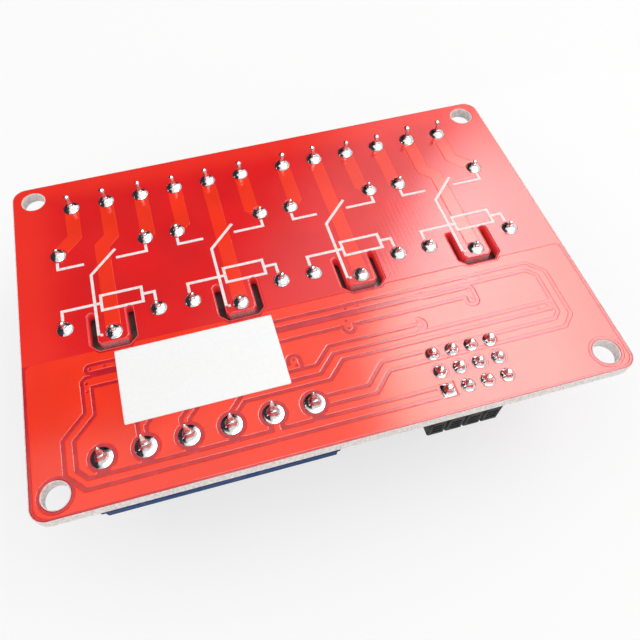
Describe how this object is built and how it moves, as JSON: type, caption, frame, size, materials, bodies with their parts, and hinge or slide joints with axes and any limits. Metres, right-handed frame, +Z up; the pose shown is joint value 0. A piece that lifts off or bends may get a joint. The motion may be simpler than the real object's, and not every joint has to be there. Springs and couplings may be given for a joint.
{
  "type": "relay module board",
  "caption": "Red relay module board lying on its relay tops with the solder side up: blue screw terminals, routed isolation slots, jumper header, blank label, corner mounting holes.",
  "frame": {"origin": "middle of the board's outline, on the plane of the relay tops that the board lies on", "axes": "+X along the board's long side, +Y from the input terminal toward the output terminals, +Z up, out of the solder side"},
  "size_m": [0.073, 0.05, 0.0194],
  "materials": {
    "laminate": "sawn glass laminate edge, rough",
    "solder_mask": "glossy red lacquer over laminate",
    "masked_copper": "glossy red lacquer over copper, slightly raised",
    "white_ink": "screen printed ink",
    "label_paper": "smooth white sticker, bare",
    "solder": "bright wetted solder",
    "relay_blue": "satin moulded case",
    "resin": "cast resin",
    "tinned_lead": "tinned lead",
    "terminal_blue": "moulded polyamide",
    "plated_steel": "nickel plated sheet",
    "screw_steel": "zinc plated screw",
    "header_black": "glass filled moulding",
    "gold_pin": "thin gold plate",
    "cap_black": "moulded cap",
    "package_black": "moulded package",
    "lamp_red": "tinted lens",
    "lamp_green": "tinted lens"
  },
  "bodies": {
    "root": {"board_core": "laminate", "mask_solder_side": "solder_mask", "mask_component_side": "solder_mask", "power_tracks": "masked_copper", "ground_area": "masked_copper", "printed_symbols": "white_ink", "label_sticker": "label_paper", "output_joints": "solder", "relay_joints": "solder", "input_joints": "solder", "header_joints": "solder", "relay_case_1": "relay_blue", "relay_case_2": "relay_blue", "relay_case_3": "relay_blue", "relay_case_4": "relay_blue", "relay_base_1": "resin", "relay_base_2": "resin", "relay_base_3": "resin", "relay_base_4": "resin", "relay_leads_1": "tinned_lead", "relay_leads_2": "tinned_lead", "relay_leads_3": "tinned_lead", "relay_leads_4": "tinned_lead", "out_housing_1": "terminal_blue", "out_housing_2": "terminal_blue", "out_housing_3": "terminal_blue", "out_housing_4": "terminal_blue", "out_cages_1": "plated_steel", "out_cages_2": "plated_steel", "out_cages_3": "plated_steel", "out_cages_4": "plated_steel", "in_housing": "terminal_blue", "in_cages": "plated_steel", "terminal_screws": "screw_steel", "header_base": "header_black", "header_pins": "gold_pin", "jumper_cap_1": "cap_black", "jumper_cap_2": "cap_black", "jumper_cap_3": "cap_black", "jumper_cap_4": "cap_black", "jumper_leaves": "gold_pin", "optocoupler_bodies": "package_black", "optocoupler_wings": "tinned_lead", "diode_bodies": "package_black", "diode_tabs": "tinned_lead", "transistor_bodies": "package_black", "transistor_wings": "tinned_lead", "chip_resistors": "package_black", "chip_ends": "tinned_lead", "channel_lamps": "lamp_red", "power_lamp_body": "lamp_green", "small_joints": "solder"}
  },
  "joints": []
}
